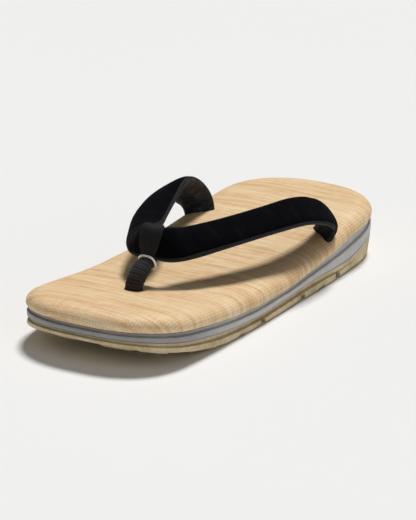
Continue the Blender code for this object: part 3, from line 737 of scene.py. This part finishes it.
def thong_frame():
    thong = columns(THONG, THONG_COLUMNS)
    strap = columns(STRAP, STRAP_COLUMNS)
    below_bend = strap["rise"][0] * STRAP_RISE - strap["width"][0] * STRAP_WIDTH / 2
    y = strap["along"][0] * LENGTH - thong["ahead"] * THONG_REACH
    z = footbed_top(y) + thong["climb"] * below_bend - thong["sink"] * FOOTBED_RISE
    table = np.column_stack([y, z, thong["width"] * THONG_WIDTH, thong["depth"] * THONG_DEPTH])
    rows = through_rows(table, THONG_STEPS)
    run = unit(np.gradient(rows[:, :2], axis=0))
    return rows, np.stack([-run[:, 1], run[:, 0]], axis=1)


def thong_lean(climb):
    """How far the thong leans to the near side, from nothing at its hole."""
    share = min(max(climb / LEAN_RISE, 0), 1)
    return THONG_LEAN * share * share * (3 - 2 * share)


def thong_section(rows, forward, i, sides, grow):
    angle = round_angles(sides)
    x = signed_power(np.cos(angle), THONG_CORNER)
    d = signed_power(np.sin(angle), THONG_CORNER)
    x, d = x * (rows[i, 2] / 2 + grow), d * (rows[i, 3] / 2 + grow)
    x = x + thong_lean(rows[i, 1] - footbed_top(rows[i, 0]))
    return np.column_stack([x, rows[i, 0] + d * forward[i, 0], rows[i, 1] + d * forward[i, 1]])


def build_thong(material, clearance):
    """Ribbed thong from its hole to the tab."""
    rows, forward = thong_frame()
    travel = np.concatenate([[0], np.cumsum(np.linalg.norm(np.diff(rows[:, :2], axis=0), axis=1))])
    sections, uvs = [], []
    angle = round_angles(THONG_SIDES)
    for i in range(len(rows)):
        wave = RIB_WAVE * math.sin(travel[i] * 2 * math.pi / RIB_STEP) - RIB_SINK
        sections.append(thong_section(rows, forward, i, THONG_SIDES, wave))
        uvs.append(np.column_stack([angle * THONG_WIDTH / 2, np.full(THONG_SIDES, travel[i])]))
    faces = tube_faces(len(sections), THONG_SIDES)
    obj = add_piece("ribbed_thong", np.concatenate(sections), faces, np.concatenate(uvs),
                    [material])
    boolean = obj.modifiers.new("clearance", "BOOLEAN")
    boolean.operation = "DIFFERENCE"
    boolean.solver = "EXACT"
    boolean.object = clearance
    apply_modifiers(obj)
    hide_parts("front_thong")
    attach(obj, "root")


def build_bend_clearance():
    """Space kept free for the straps' front bend, used once as a cutter."""
    frame_rows = strap_frame()
    middle_row = len(frame_rows[0]) // 2
    angle = round_angles(STRAP_SIDES)
    rows = range(middle_row - STRAP_STEPS, middle_row + STRAP_STEPS + 1, 2)
    sections = [strap_points(frame_rows, i, angle, GAP + TAB_WALL / 2) for i in rows]
    faces = tube_faces(len(sections), STRAP_SIDES)
    return add_piece("bend_space", np.concatenate(sections), faces)


def build_ring(material):
    """Wire ring round the thong's neck."""
    rows, forward = thong_frame()
    path = thong_section(rows, forward, RING_AT * THONG_STEPS, RING_STEPS, GAP + RING_WIRE / 2)
    along = unit(np.roll(path, -1, axis=0) - np.roll(path, 1, axis=0))
    out = path - path.mean(axis=0)
    out = unit(out - along * (along * out).sum(axis=1, keepdims=True))
    other = np.cross(along, out)
    angle = round_angles(RING_SIDES)
    sections = [p + (np.outer(np.cos(angle), o) + np.outer(np.sin(angle), v)) * RING_WIRE / 2
                for p, o, v in zip(path, out, other)]
    faces = ring_faces(len(sections), RING_SIDES, closed_rows=True)
    obj = add_piece("bright_ring", np.concatenate(sections), faces, materials=[material])
    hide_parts("neck_ring")
    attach(obj, "root")


def build_hole_cutters():
    """Spaces round the strap and thong ends, used once to open the footbed's three holes."""
    frame_rows = strap_frame()
    angle = round_angles(STRAP_SIDES)
    last, tail = len(frame_rows[0]) - 1, 2 * STRAP_STEPS
    rows, forward = thong_frame()
    runs = [
        [strap_points(frame_rows, i, angle, GAP) for i in range(tail, -1, -4)],
        [strap_points(frame_rows, i, angle, GAP) for i in range(last - tail, last + 1, 4)],
        [thong_section(rows, forward, i, THONG_SIDES, GAP)
         for i in range(2 * THONG_STEPS, -1, -2)],
    ]
    cutters = []
    for sections in runs:
        below = sections[-1] + (sections[-1] - sections[-2]) * 6
        sections = [*sections, below]
        faces = tube_faces(len(sections), len(below))
        cutters.append(add_piece("hole_space", np.concatenate(sections), faces))
    return cutters


def build_footbed(material):
    """Woven cover over the cushion, its cloth laid over the rounded edge."""
    edge = outline()
    normal = outward(edge)
    profile = through_rows(CUSHION_SIDE, 4)
    reach = np.concatenate([[0], np.cumsum(np.linalg.norm(np.diff(
        profile * [EDGE_ROUND, FOOTBED_RISE], axis=0), axis=1))])
    reach = reach[-1] - reach
    inner = edge - normal * EDGE_ROUND
    rings, uvs = [], []
    low = edge - normal * profile[0, 0] * EDGE_ROUND
    for share in (0.0, 0.3, 0.6, 0.85, 0.95):
        loop = toward_spine(low, share)
        rings.append(level(loop, seam_height))
        uvs.append(loop)
    for (distance, rise), far in zip(profile, reach):
        loop = edge - normal * distance * EDGE_ROUND
        rings.append(level(loop, seam_height(loop[:, 1]) + rise * FOOTBED_RISE))
        uvs.append(inner + normal * far)
    for share in np.linspace(1, 0, 19)[1:]:
        loop = toward_spine(inner, share)
        rings.append(level(loop, footbed_top(loop[:, 1]) + CROWN * (1 - share ** 2)))
        uvs.append(loop)
    faces = ring_faces(len(rings), len(edge))
    obj = add_piece("footbed_cover", np.concatenate(rings), faces, np.concatenate(uvs), [material])
    cutters = build_hole_cutters()
    for cutter in cutters:
        boolean = obj.modifiers.new("hole", "BOOLEAN")
        boolean.operation = "DIFFERENCE"
        boolean.solver = "EXACT"
        boolean.use_self = True
        boolean.object = cutter
    apply_modifiers(obj)
    for cutter in cutters:
        bpy.data.objects.remove(cutter, do_unlink=True)
    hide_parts("footbed")
    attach(obj, "root")


def build_midsole(material):
    """Foam layer with its corners rounded."""
    edge = outline()
    normal = outward(edge)
    rings = []
    side = through_rows(MIDSOLE_SIDE, 5)
    for trim, recess, down in side:
        loop = edge - normal * (trim * SIDE_TRIM + np.clip(recess, 0, 1) * SIDE_STEP)
        top, low = midsole_top(loop[:, 1]), midsole_floor(loop[:, 1])
        rings.append(level(loop, top + (low - top) * np.clip(down, 0, 1)))
    bottom = [level(toward_spine(rings[0][:, :2], s), midsole_floor) for s in (0, 0.5, 0.9)]
    roof = [level(toward_spine(rings[-1][:, :2], s), midsole_top) for s in (0.9, 0.5, 0)]
    rings = bottom + rings + roof
    down = np.concatenate([np.ones(3), np.clip(side[:, 2], 0, 1), np.zeros(3)])
    uvs = [np.column_stack([ring[:, 1], np.full(len(ring), share)])
           for ring, share in zip(rings, down)]
    obj = add_piece("foam_layer", np.concatenate(rings), ring_faces(len(rings), len(edge)),
                    np.concatenate(uvs), [material])
    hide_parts("midsole")
    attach(obj, "root")


def dress_outsole(material):
    """The CAD outsole keeps its own mesh and gets the rubber material."""
    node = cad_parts["outsole"]
    node.data.materials.clear()
    node.data.materials.append(material)


def build_stage():
    """Pale floor, soft light from above and behind, weaker from front and side, pale room."""
    bpy.ops.mesh.primitive_plane_add(size=FLOOR_SIZE, location=(0, 0, 0))
    floor = bpy.context.object
    floor.name = "floor"
    g = Graph("floor_paper")
    haze = g.noise(g.place(), 3.0, 2.0, 0.5)
    floor.data.materials.append(g.finish(
        Base_Color=g.ramp(haze, [(0.3, (0.865, 0.865, 0.857)), (0.7, (0.875, 0.875, 0.867))]),
        Roughness=0.9, Specular_IOR_Level=0.1))
    for name, toward, strength, spread in LIGHTS:
        sun = bpy.data.lights.new(name, "SUN")
        sun.energy = strength
        sun.angle = math.radians(spread)
        sun.color = (1.0, 0.995, 0.985)
        lamp = bpy.data.objects.new(name, sun)
        bpy.context.scene.collection.objects.link(lamp)
        lamp.rotation_euler = Vector(toward).to_track_quat("Z", "Y").to_euler()
    world = bpy.data.worlds.new("pale_room")
    bpy.context.scene.world = world
    world.use_nodes = True
    background = world.node_tree.nodes["Background"]
    background.inputs["Color"].default_value = (0.97, 0.985, 1.0, 1)
    background.inputs["Strength"].default_value = 0.08


def build_camera():
    """The photograph's camera place, turned to the one sandal, with a longer lens."""
    place = Vector(CAMERA_PLACE)
    target = Vector(CAMERA_TARGET)
    camera = bpy.data.cameras.new("camera")
    camera.sensor_width = 36
    camera.sensor_fit = "AUTO"
    camera.lens = CAMERA_LENS
    camera.clip_end = 100
    obj = bpy.data.objects.new("camera", camera)
    bpy.context.scene.collection.objects.link(obj)
    obj.matrix_world = Matrix.Translation(place) @ \
        (place - target).to_track_quat("Z", "Y").to_matrix().to_4x4()
    bpy.context.scene.camera = obj


def main():
    build_stage()
    build_camera()
    build_footbed(woven_rush())
    build_midsole(foam())
    dress_outsole(gum_rubber())
    build_straps([velvet(), lining(), piping()])
    build_tab(tab_cloth())
    space = build_bend_clearance()
    build_thong(thong_cloth(), space)
    bpy.data.objects.remove(space, do_unlink=True)
    build_ring(ring_metal())
    view = bpy.context.scene.view_settings
    view.view_transform = "Standard"
    view.look = "None"


main()
